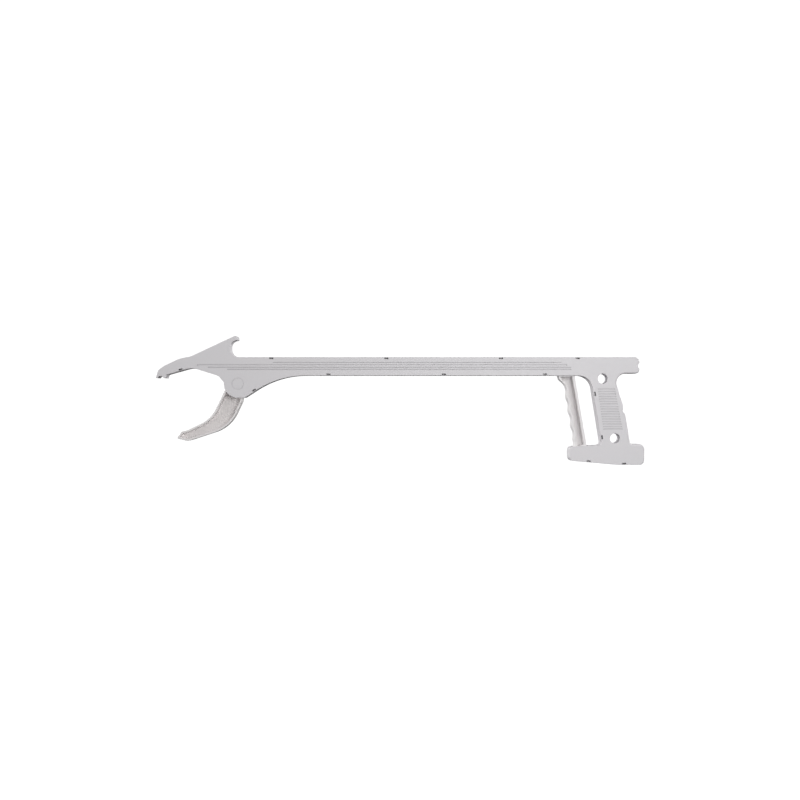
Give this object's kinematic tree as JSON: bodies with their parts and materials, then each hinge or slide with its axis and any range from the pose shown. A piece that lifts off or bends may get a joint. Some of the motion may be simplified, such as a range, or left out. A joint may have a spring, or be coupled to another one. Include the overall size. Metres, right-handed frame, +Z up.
{
  "type": "reacher grabber",
  "caption": "Long-handled reacher: a squeeze trigger under a pistol grip pulls a rod that closes a curved lower jaw on a fixed upper jaw with a hook behind it.",
  "frame": {"origin": "centre of the upper hole through the grip, on the parting plane between the two shells", "axes": "+X from the jaws along the barrel to the grip, +Z up with the barrel level and the foot of the grip below, +Y across the body"},
  "size_m": [0.6845, 0.022, 0.1808],
  "materials": {
    "shell_plastic": "light grey moulded plastic, fine satin texture",
    "jaw_plastic": "light warm grey moulded plastic, satin",
    "trigger_plastic": "light grey moulded plastic, satin",
    "link_plastic": "natural acetal",
    "steel": "bright drawn steel",
    "spring_steel": "spring wire"
  },
  "bodies": {
    "housing": {"front_shell": "shell_plastic", "rear_shell": "shell_plastic", "jaw_pivot_pin": "steel", "trigger_pivot_pin": "steel", "return_spring": "spring_steel"},
    "jaw": {"lower_jaw": "jaw_plastic", "jaw_link_pin": "steel"},
    "rod": {"pull_rod": "steel", "front_link": "link_plastic", "rear_link": "link_plastic", "spring_collar": "steel"},
    "lever": {"trigger": "trigger_plastic", "trigger_link_pin": "steel"}
  },
  "joints": [
    {"name": "jaw_hinge", "type": "hinge", "parent": "housing", "child": "jaw", "pos_m": [-0.511, 0, -0.007], "axis": [0, 1, 0], "range_deg": [0, 44]},
    {"name": "rod_slide", "type": "slide", "parent": "housing", "child": "rod", "axis": [1, 0, 0], "range_m": [0, 0.018], "stiffness_N_per_m": 590, "springref_m": -0.005, "deforming": ["return_spring"]},
    {"name": "trigger_hinge", "type": "hinge", "parent": "housing", "child": "lever", "pos_m": [-0.031, 0, -0.104], "axis": [0, 1, 0], "range_deg": [0, 8.6]}
  ],
  "couplings": [
    {"joint": "rod_slide", "follows": "jaw_hinge", "m_per_rad": 0.023415},
    {"joint": "trigger_hinge", "follows": "jaw_hinge", "ratio": 0.19457}
  ]
}
